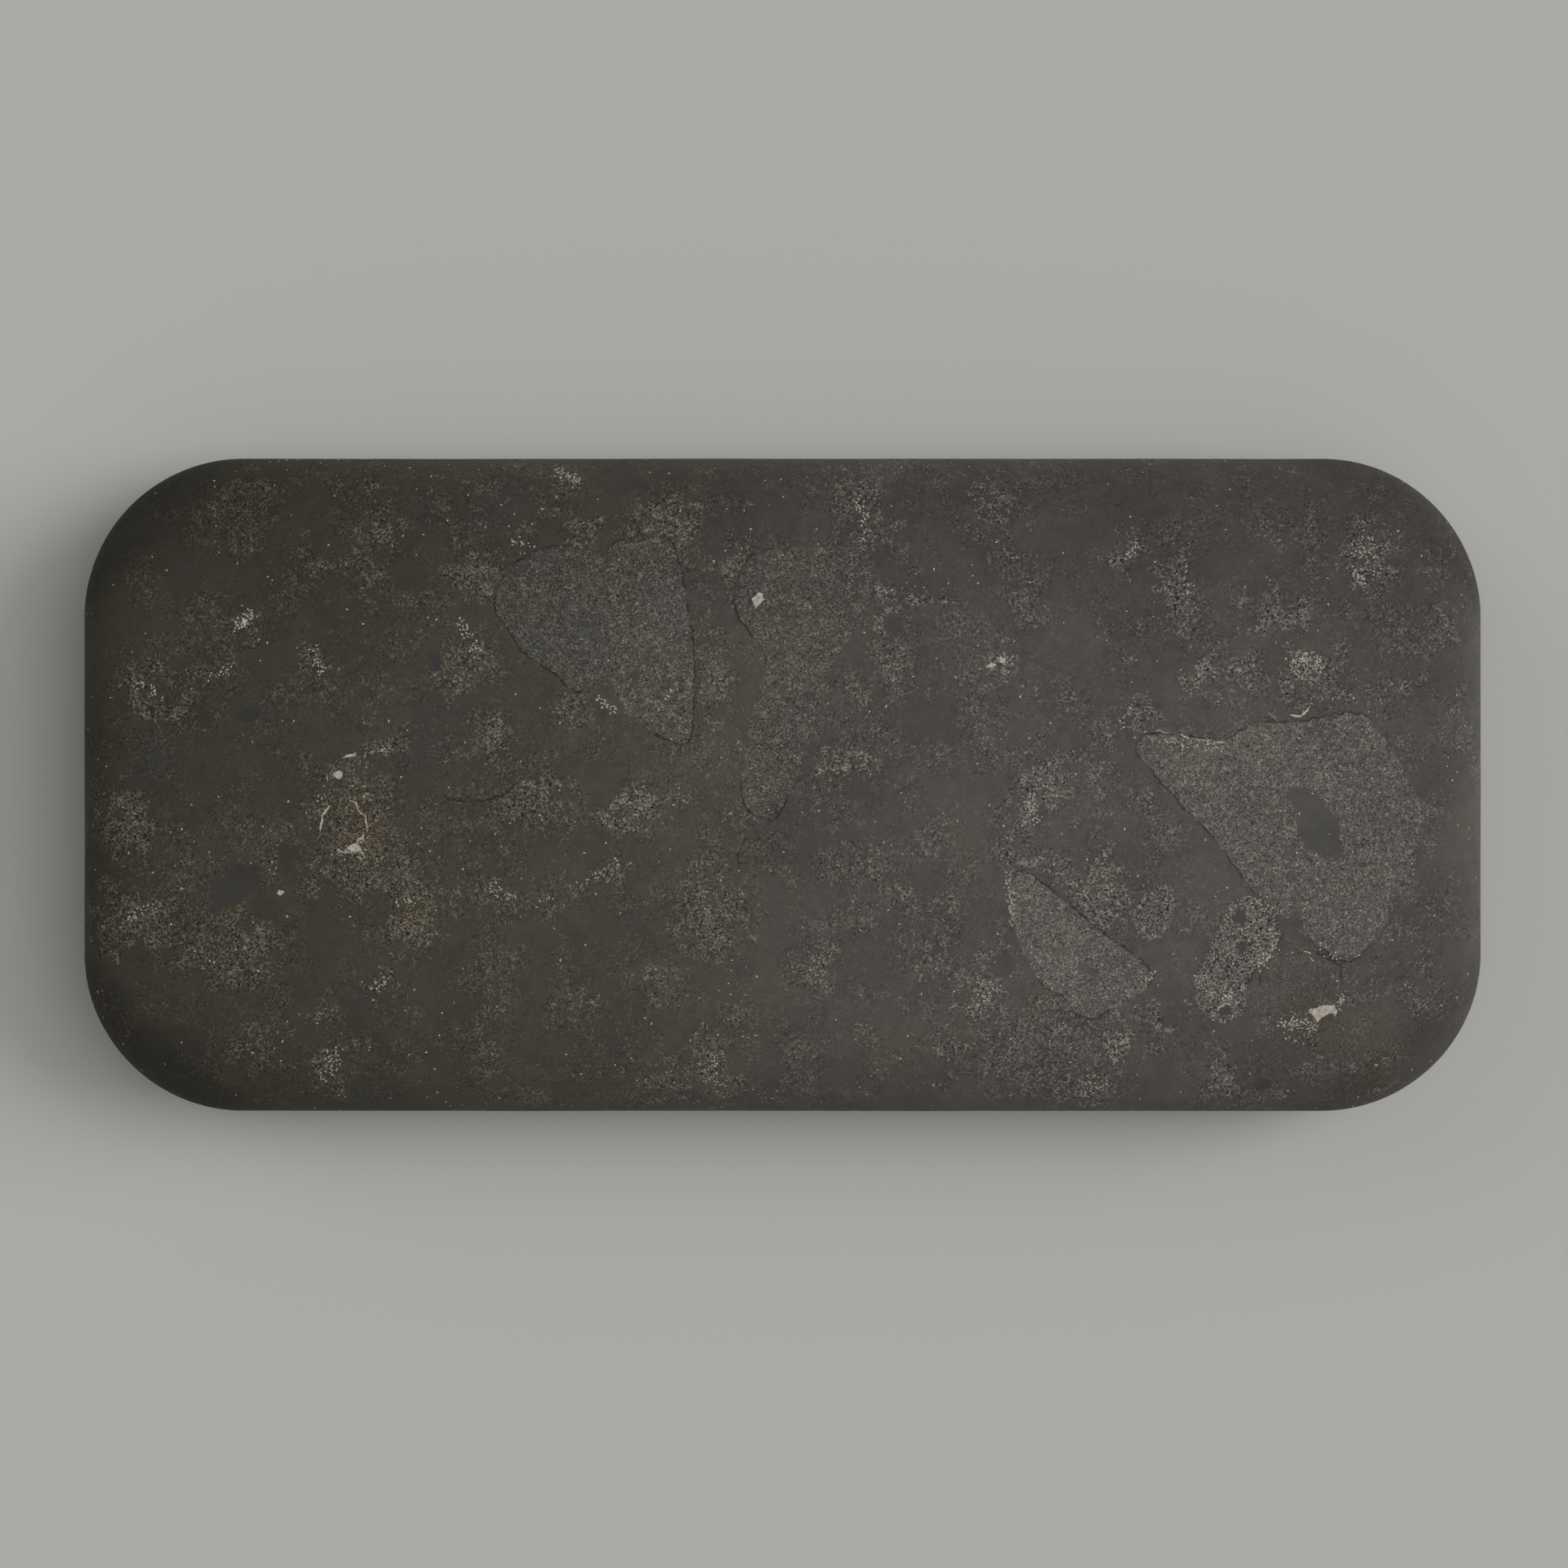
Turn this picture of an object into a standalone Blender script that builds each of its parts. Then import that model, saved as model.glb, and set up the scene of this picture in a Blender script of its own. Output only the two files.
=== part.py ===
"""Basalt massage stone: a flat bar of rock with rolled edges, rounded in plan.

Metres, +Z up. The origin is the middle of the flat land that the stone lies on.
The stone is one natural piece, so it is one closed solid.
"""
from math import cos, pi, sin

import bmesh
import bpy

# Overall size
LENGTH = 0.1500           # along X, between the widest points of the ends
WIDTH = 0.0702            # along Y, between the widest points of the long sides
THICKNESS = 0.0230        # from the land underneath to the highest point of the top

# Plan outline
CORNER_RADIUS = 0.0171    # round corners, seen from above

# Rolled edges: how far each reaches in from the widest outline
TOP_ROLL = 0.0085         # upper edge, along the sides
UNDER_ROLL = 0.0095       # lower edge, along the sides
CORNER_WEAR = 0.0018      # how much further in both edges reach at the corners
WIDEST_HEIGHT = 0.0112    # height of the widest outline above the land
ROLL_POWER = 2.15         # 2 is an ellipse, higher is fuller

# Upper face
TOP_CROWN = 0.0007        # rise of the middle above the inner end of the rolled edge

# Fineness of the mesh
CORNER_STEPS = 12         # per quarter turn in plan
LONG_STEPS = 6            # along each straight long side
SHORT_STEPS = 2           # along each straight end
ROLL_STEPS = 8            # rings over each rolled edge
CROWN_STEPS = 4           # rings over the upper face

BASALT_COLOUR = (0.066, 0.060, 0.052, 1.0)
BASALT_ROUGHNESS = 0.62


def clear_scene():
    """Remove every object, so the file holds the stone alone."""
    for old in list(bpy.data.objects):
        bpy.data.objects.remove(old, do_unlink=True)


def basalt_material():
    """Honed dark grey-brown rock."""
    material = bpy.data.materials.new("basalt")
    material.use_nodes = True
    shader = material.node_tree.nodes["Principled BSDF"]
    shader.inputs["Base Color"].default_value = BASALT_COLOUR
    shader.inputs["Roughness"].default_value = BASALT_ROUGHNESS
    shader.inputs["Metallic"].default_value = 0.0
    return material


def outline():
    """Widest outline, anticlockwise: each point with its outward direction and corner share.

    The share is 0 on the straights and rises to 1 in the middle of a round corner.
    """
    half_x = LENGTH / 2 - CORNER_RADIUS
    half_y = WIDTH / 2 - CORNER_RADIUS
    points = []
    for quarter, (side_x, side_y) in enumerate([(1, 1), (-1, 1), (-1, -1), (1, -1)]):
        for step in range(CORNER_STEPS + 1):
            share = step / CORNER_STEPS
            angle = (quarter + share) * pi / 2
            out_x, out_y = cos(angle), sin(angle)
            point = (side_x * half_x + CORNER_RADIUS * out_x, side_y * half_y + CORNER_RADIUS * out_y)
            points.append((point, (out_x, out_y), sin(pi * share) ** 2))
        # the straight run to the next corner, without its two ends
        if quarter in (0, 2):
            run, steps = (-2 * side_x * half_x, 0), LONG_STEPS
        else:
            run, steps = (0, -2 * side_y * half_y), SHORT_STEPS
        (start_x, start_y), direction, _ = points[-1]
        for step in range(1, steps):
            point = (start_x + run[0] * step / steps, start_y + run[1] * step / steps)
            points.append((point, direction, 0.0))
    return points


def rolled_ring(bm, points, roll, turn, edge_height):
    """One ring of a rolled edge: turn 0 is the widest outline, turn 1 its inner end."""
    inward = 1 - cos(turn * pi / 2) ** (2 / ROLL_POWER)
    climb = sin(turn * pi / 2) ** (2 / ROLL_POWER)
    height = WIDEST_HEIGHT + (edge_height - WIDEST_HEIGHT) * climb
    ring = []
    for (x, y), (out_x, out_y), corner in points:
        reach = (roll + CORNER_WEAR * corner) * inward
        ring.append(bm.verts.new((x - out_x * reach, y - out_y * reach, height)))
    return ring


def crown_ring(bm, inner_end, share, edge_height):
    """One ring of the crowned upper face: share 1 is its rim, and it shrinks to the middle."""
    height = edge_height + TOP_CROWN * (1 - share ** 2)
    return [bm.verts.new((vert.co.x * share, vert.co.y * share, height)) for vert in inner_end]


def bridge(bm, lower, upper):
    """Join two rings with quads that face outwards when upper lies above lower."""
    count = len(lower)
    for i in range(count):
        j = (i + 1) % count
        bm.faces.new((lower[i], lower[j], upper[j], upper[i]))


def basalt_stone():
    """The stone, built in rings from the land underneath, over both edges, to the crown."""
    bm = bmesh.new()
    points = outline()
    rim_height = THICKNESS - TOP_CROWN

    rings = []
    for step in range(ROLL_STEPS, 0, -1):
        rings.append(rolled_ring(bm, points, UNDER_ROLL, step / ROLL_STEPS, 0.0))
    for step in range(ROLL_STEPS + 1):
        rings.append(rolled_ring(bm, points, TOP_ROLL, step / ROLL_STEPS, rim_height))
    rim = rings[-1]
    for step in range(1, CROWN_STEPS):
        rings.append(crown_ring(bm, rim, 1 - step / CROWN_STEPS, rim_height))

    bm.faces.new(list(reversed(rings[0])))
    for lower, upper in zip(rings, rings[1:]):
        bridge(bm, lower, upper)
    summit = bm.verts.new((0.0, 0.0, THICKNESS))
    last = rings[-1]
    for i, vert in enumerate(last):
        bm.faces.new((vert, last[(i + 1) % len(last)], summit))

    mesh = bpy.data.meshes.new("basalt_stone")
    bm.to_mesh(mesh)
    bm.free()
    mesh.shade_smooth()
    mesh.materials.append(basalt_material())
    stone = bpy.data.objects.new("basalt_stone", mesh)
    bpy.context.scene.collection.objects.link(stone)
    return stone


clear_scene()
basalt_stone()
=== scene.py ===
"""The looks of a basalt massage stone: one natural bar of rock, seen from above on a pale floor.

Metres, +Z up, +X along the stone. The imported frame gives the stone's box. The file goes through
the stone as it was made: the tumbled bar, the fragments and patches in its face, the minerals
that filled its gas bubbles, and then the floor, the light and the camera.
"""
import math

import bmesh
import bpy
import numpy as np
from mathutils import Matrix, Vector
from mathutils.bvhtree import BVHTree


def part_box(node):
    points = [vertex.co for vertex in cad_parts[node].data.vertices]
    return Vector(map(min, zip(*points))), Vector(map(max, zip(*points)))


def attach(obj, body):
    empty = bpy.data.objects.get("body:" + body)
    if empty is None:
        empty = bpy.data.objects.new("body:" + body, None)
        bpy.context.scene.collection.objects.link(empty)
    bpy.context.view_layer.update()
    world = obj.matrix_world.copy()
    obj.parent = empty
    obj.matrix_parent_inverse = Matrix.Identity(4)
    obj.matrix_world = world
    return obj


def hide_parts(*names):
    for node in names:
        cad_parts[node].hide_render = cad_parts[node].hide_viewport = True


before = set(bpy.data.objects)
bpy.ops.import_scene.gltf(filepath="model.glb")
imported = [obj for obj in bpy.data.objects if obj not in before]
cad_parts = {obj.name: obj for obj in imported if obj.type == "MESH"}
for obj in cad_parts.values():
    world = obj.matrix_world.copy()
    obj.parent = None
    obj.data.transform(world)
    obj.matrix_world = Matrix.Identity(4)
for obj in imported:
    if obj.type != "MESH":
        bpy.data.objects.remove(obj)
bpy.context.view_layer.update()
MM = 0.001
TINY = 1e-9
scene = bpy.context.scene
scene.view_settings.view_transform = "Standard"


# --- The tumbled bar ---------------------------------------------------------------------------
# One piece of rock, sawn to a bar and tumbled: round corners in plan, rolled edges that reach
# further in at the corners, a top that is crowned a little and a flat land underneath. Its shape
# follows a rule, so geometry nodes bend a subdivided box to it.

STONE_LOW, STONE_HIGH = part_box("basalt_stone")
LENGTH, WIDTH, THICKNESS = STONE_HIGH - STONE_LOW
BAR_SIZES = {
    "Length": LENGTH,
    "Width": WIDTH,
    "Thickness": THICKNESS,
    "Corner Radius": 17.1 * MM,
    "Top Roll": 9.5 * MM,
    "Under Roll": 10.0 * MM,
    "Corner Wear": 2.6 * MM,
    "Widest Height": 11.2 * MM,
    "Roll Power": 2.8,
    "Crown": 1.0 * MM,
}
BAR_COUNTS = {"Along": 280, "Across": 131, "Over": 31}


def node(tree, kind, inputs=None, **settings):
    """Add a node. inputs maps a socket's name or number to a value or to another node's output."""
    made = tree.nodes.new(kind)
    for name, value in settings.items():
        setattr(made, name, value)
    for socket, value in (inputs or {}).items():
        if isinstance(value, bpy.types.NodeSocket):
            tree.links.new(value, made.inputs[socket])
        else:
            made.inputs[socket].default_value = value
    return made


def calc(tree, operation, *values):
    """One Math node: returns its output."""
    return node(tree, "ShaderNodeMath", dict(enumerate(values)), operation=operation).outputs[0]


def times(tree, *values):
    """The product of all values."""
    total = values[0]
    for value in values[1:]:
        total = calc(tree, "MULTIPLY", total, value)
    return total


def plus(tree, *values):
    """The sum of all values."""
    total = values[0]
    for value in values[1:]:
        total = calc(tree, "ADD", total, value)
    return total


def minus(tree, value, less):
    """value without less."""
    return calc(tree, "SUBTRACT", value, less)


def absolute(tree, value):
    """The value without its sign."""
    return calc(tree, "ABSOLUTE", value)


def new_geometry_tree(name, values):
    """A geometry tree with a named input for each size or count, and a Geometry output."""
    tree = bpy.data.node_groups.new(name, "GeometryNodeTree")
    tree.interface.new_socket("Geometry", in_out="OUTPUT", socket_type="NodeSocketGeometry")
    tree.interface.new_socket("Geometry", in_out="INPUT", socket_type="NodeSocketGeometry")
    for label, value in values.items():
        kind = "NodeSocketInt" if isinstance(value, int) else "NodeSocketFloat"
        tree.interface.new_socket(label, in_out="INPUT", socket_type=kind)
    return tree


def grown_mesh(name, tree, values, base=None):
    """Run a geometry tree on an empty or a given mesh, and return the result as a plain mesh."""
    holder = bpy.data.objects.new(name + "_source", base or bpy.data.meshes.new(name + "_base"))
    scene.collection.objects.link(holder)
    modifier = holder.modifiers.new("grow", "NODES")
    modifier.node_group = tree
    for item in tree.interface.items_tree:
        if item.in_out == "INPUT" and item.name in values:
            modifier[item.identifier] = values[item.name]
    depsgraph = bpy.context.evaluated_depsgraph_get()
    mesh = bpy.data.meshes.new_from_object(holder.evaluated_get(depsgraph), depsgraph=depsgraph)
    bpy.data.objects.remove(holder)
    mesh.name = name
    return mesh


def bar_tree(material):
    """A box of Along x Across x Over points, bent to the bar."""
    tree = new_geometry_tree("tumbled bar", BAR_SIZES | BAR_COUNTS)
    given = node(tree, "NodeGroupInput").outputs
    box = node(tree, "GeometryNodeMeshCube", {
        "Size": (2, 2, 2), "Vertices X": given["Along"], "Vertices Y": given["Across"],
        "Vertices Z": given["Over"]})
    position = node(tree, "GeometryNodeInputPosition").outputs[0]
    along, across, over = node(tree, "ShaderNodeSeparateXYZ", {0: position}).outputs

    # Over runs from -1, the rim of the land, through 0, the widest outline, to 1, the rim of the
    # top. Half steps near the widest outline are small, so the roll starts smoothly.
    turn = times(tree, absolute(tree, over), math.pi / 2)
    power = calc(tree, "DIVIDE", 2.0, given["Roll Power"])
    level = calc(tree, "MAXIMUM", calc(tree, "COSINE", turn), 0.0)
    inward = minus(tree, 1.0, calc(tree, "POWER", level, power))
    climb = calc(tree, "POWER", calc(tree, "SINE", turn), power)
    is_top = calc(tree, "GREATER_THAN", over, 0.0)
    roll = plus(tree, given["Under Roll"],
                times(tree, is_top, minus(tree, given["Top Roll"], given["Under Roll"])))
    reach = times(tree, roll, inward)
    rim_height = times(tree, is_top, minus(tree, given["Thickness"], given["Crown"]))
    height = plus(tree, given["Widest Height"],
                  times(tree, climb, minus(tree, rim_height, given["Widest Height"])))

    # In plan each point is on a rectangle, whose corner squares are bent to quarter discs.
    corner = minus(tree, given["Corner Radius"], reach)

    def plan(side, size):
        half = minus(tree, calc(tree, "DIVIDE", size, 2.0), reach)
        flat = times(tree, absolute(tree, side), half)
        straight = minus(tree, half, corner)
        return flat, straight, minus(tree, flat, straight)

    flat_x, straight_x, past_x = plan(along, given["Length"])
    flat_y, straight_y, past_y = plan(across, given["Width"])
    far = calc(tree, "MAXIMUM", past_x, past_y)
    near = calc(tree, "MINIMUM", past_x, past_y)
    lean = times(tree, calc(tree, "DIVIDE", near, calc(tree, "MAXIMUM", far, TINY)), math.pi / 4)
    steep = calc(tree, "GREATER_THAN", past_y, past_x)
    angle = plus(tree, times(tree, minus(tree, 1.0, steep), lean),
                 times(tree, steep, minus(tree, math.pi / 2, lean)))
    # the wear is largest in the middle of a corner and on its outermost ring
    middle = calc(tree, "POWER", absolute(tree, calc(tree, "SINE", times(tree, angle, 2.0))), 2.0)
    share = calc(tree, "DIVIDE", far, calc(tree, "MAXIMUM", corner, TINY))
    worn = times(tree, times(tree, given["Corner Wear"], inward),
                 times(tree, middle, times(tree, share, share)))
    radius = minus(tree, far, worn)
    in_corner = calc(tree, "GREATER_THAN", near, 0.0)

    def bent(side, flat, straight, turned):
        round_place = plus(tree, straight, times(tree, radius, turned))
        chosen = plus(tree, flat, times(tree, in_corner, minus(tree, round_place, flat)))
        return times(tree, calc(tree, "SIGN", side), chosen)

    x = bent(along, flat_x, straight_x, calc(tree, "COSINE", angle))
    y = bent(across, flat_y, straight_y, calc(tree, "SINE", angle))

    # The crown rises smoothly from the rim of the top, where over is 1, to its middle.
    def from_rim(side):
        return minus(tree, 1.0, times(tree, side, side))

    on_face = calc(tree, "GREATER_THAN", over, 0.999)
    crown = times(tree, times(tree, on_face, given["Crown"]),
                  times(tree, from_rim(along), from_rim(across)))
    z = plus(tree, height, crown)

    shaped = node(tree, "GeometryNodeSetPosition", {
        "Geometry": box.outputs["Mesh"],
        "Position": node(tree, "ShaderNodeCombineXYZ", {0: x, 1: y, 2: z}).outputs[0]})
    smooth = node(tree, "GeometryNodeSetShadeSmooth", {"Geometry": shaped.outputs[0]})
    whole = node(tree, "GeometryNodeRealizeInstances", {0: smooth.outputs[0]})
    painted = node(tree, "GeometryNodeSetMaterial", {"Geometry": whole.outputs[0], "Material": material})
    node(tree, "NodeGroupOutput", {0: painted.outputs[0]})
    return tree


# --- Fragments, spots and grainy patches in the face -------------------------------------------
# The rock is a breccia: older fragments and grainy patches sit in a smooth dark matrix. Each has
# its own place, so outlines and patches are laid out one by one, in millimetres from the middle of
# the face, and stored on the mesh as distances that the material reads.

# The plan is a little larger than the face, so everything in it is scaled down by this.
FACE_SCALE = 0.975

# Fragments: how grainy and how light each is, its hue (-1 blue-grey to 1 brown), its outline, and
# the stretches of the outline, by their first and last point, where a dark crack follows it.
FRAGMENTS = {
    "broad": (0.62, 1.17, -0.1, [
        (38.0, 3.8), (39.2, 5.7), (43.0, 5.3), (47.7, 4.6), (49.9, 6.1), (51.2, 6.8), (55.7, 6.7),
        (62.2, 8.1), (64.6, 6.1), (68.2, 0.0), (69.8, -3.2), (68.9, -4.9), (68.5, -9.8),
        (67.6, -11.4), (65.6, -11.8), (65.6, -15.0), (62.9, -18.2), (61.3, -19.4), (57.9, -17.5),
        (52.6, -13.0), (50.3, -10.8), (47.2, -6.3), (42.1, -1.1), (39.4, 2.2)],
        [(0, 7), (16, 17), (20, 23)]),
    "leaf": (0.62, 1.22, -0.1, [
        (25.5, -8.8), (28.7, -11.1), (31.4, -13.2), (33.7, -15.4), (36.7, -17.5), (39.4, -19.5),
        (40.1, -20.9), (39.1, -22.4), (35.4, -24.4), (33.4, -25.5), (31.6, -24.8), (30.3, -22.7),
        (28.1, -21.8), (26.1, -18.5), (24.9, -15.2), (24.4, -11.4)],
        [(0, 6), (8, 12)]),
    "twin_left": (0.62, 1.08, -0.4, [
        (-23.1, 25.9), (-26.0, 25.7), (-29.0, 23.9), (-30.9, 21.6), (-31.2, 19.0), (-29.7, 16.8),
        (-27.8, 13.9), (-24.8, 12.4), (-22.6, 9.7), (-18.0, 11.0), (-17.0, 18.0), (-19.0, 24.5)],
        [(0, 8)]),
    "twin_right": (0.66, 1.10, -0.28, [
        (-18.9, 26.3), (-15.9, 26.8), (-13.6, 27.4), (-12.4, 27.4), (-10.9, 23.2), (-10.4, 19.8),
        (-9.6, 15.3), (-9.6, 7.6), (-10.0, 4.0), (-14.1, 5.5), (-17.2, 8.0), (-18.7, 11.4),
        (-20.5, 18.0)],
        [(0, 9)]),
    "upright": (0.62, 1.03, -0.2, [
        (-3.9, 24.3), (-2.2, 25.5), (5.5, 25.9), (9.3, 25.7), (10.2, 22.9), (8.6, 17.3), (6.0, 14.2),
        (4.1, 8.6), (2.5, 2.7), (0.2, -2.0), (-0.8, -3.9), (-3.6, -3.2), (-4.6, -0.6), (-4.1, 5.1),
        (-2.2, 11.7), (-1.5, 13.9), (-4.1, 17.3), (-5.3, 19.1), (-5.0, 22.2)],
        [(0, 1), (9, 12), (15, 19)]),
    "bright_bean": (0.95, 0.92, -0.05, [
        (48.5, -12.5), (50.1, -12.0), (51.8, -12.8), (53.5, -14.3), (54.2, -16.5), (52.2, -19.3),
        (50.8, -20.3), (50.1, -22.4), (50.5, -24.2), (48.0, -26.2), (45.1, -24.5), (44.4, -22.6),
        (44.7, -20.0), (45.9, -18.0), (47.1, -15.6)],
        []),
    "dull_wedge": (0.42, 1.06, 0.2, [
        (54.4, -16.7), (51.4, -20.8), (53.0, -23.8), (57.0, -23.2), (60.1, -22.0), (60.6, -20.0),
        (58.5, -18.5)],
        [(0, 1), (4, 6)]),
    "oval": (0.85, 0.98, 0.2, [
        (41.9, -10.4), (39.6, -11.4), (37.9, -13.4), (37.8, -15.6), (39.2, -17.0), (41.0, -16.6),
        (42.3, -14.6), (42.9, -12.0)],
        []),
    "small_lens": (0.5, 1.05, -0.2, [
        (-37.3, -0.4), (-33.0, 0.3), (-29.2, 0.6), (-29.4, -0.9), (-33.4, -1.9), (-36.2, -1.5)],
        [(3, 6)]),
    "small_chip": (0.5, 0.95, 0.1, [
        (-5.1, -8.6), (-4.5, -6.8), (-3.3, -4.8), (0.2, -5.1), (0.9, -6.8), (-1.0, -8.4)],
        [(0, 3)]),
    "dull_round": (0.5, 0.95, 0.1, [
        (-31.6, -7.6), (-31.0, -5.8), (-29.4, -5.0), (-27.6, -5.6), (-26.7, -7.3), (-27.3, -9.2),
        (-29.0, -10.2), (-30.8, -9.4)],
        []),
}

# Smooth dark spots: gas bubbles filled level with dark glass. The outlines of the three largest,
# then the centre, half sizes and turn of the others.
LARGE_SPOTS = [
    [(54.6, -1.1), (55.0, -0.3), (56.4, -0.4), (57.8, -1.1), (59.0, -2.3), (60.2, -3.8), (60.4, -5.6),
     (60.6, -7.5), (60.2, -8.4), (58.3, -7.6), (56.4, -6.7), (55.5, -5.1), (55.6, -3.4)],
    [(-54.3, -6.4), (-51.8, -6.5), (-52.2, -8.3), (-53.0, -9.1), (-54.0, -10.1), (-54.7, -9.4),
     (-54.6, -7.5)],
    [(-59.7, -8.1), (-56.6, -8.8), (-56.6, -10.7), (-58.9, -12.7), (-60.9, -13.5), (-62.0, -12.2),
     (-61.5, -10.9), (-60.0, -10.1)],
]
SPOTS = [
    (49.3, -14.3, 0.75, 0.9, 0), (49.7, -17.4, 0.45, 0.5, 0), (48.0, -24.5, 0.6, 0.6, 0),
    (-62.6, 7.2, 0.9, 0.9, 0), (-57.8, 7.6, 1.3, 0.9, 0), (-49.6, 18.7, 0.9, 0.6, 20),
    (-37.8, 13.9, 0.8, 1.6, 20), (23.7, -19.6, 1.5, 1.2, 30), (33.4, -20.2, 1.2, 0.45, -25),
    (55.4, -14.9, 1.0, 0.6, -30), (11.9, 17.3, 0.9, 1.2, 10), (59.0, -25.1, 1.0, 0.4, 25),
    (55.6, -27.1, 1.1, 0.5, 5), (27.8, -3.6, 0.6, 1.5, -15), (-19.6, 7.6, 0.8, 1.1, 0),
    (-45.2, 9.9, 1.0, 0.6, 30), (-16.0, 11.5, 0.5, 0.8, 0), (53.1, 12.4, 0.7, 0.6, 0),
    (-48.8, -27.8, 0.6, 0.9, 10), (52.2, -32.6, 1.0, 0.7, 30), (16.7, -17.8, 0.6, 0.5, 0),
    (4.5, -24.8, 0.5, 0.7, 0),
]

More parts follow.
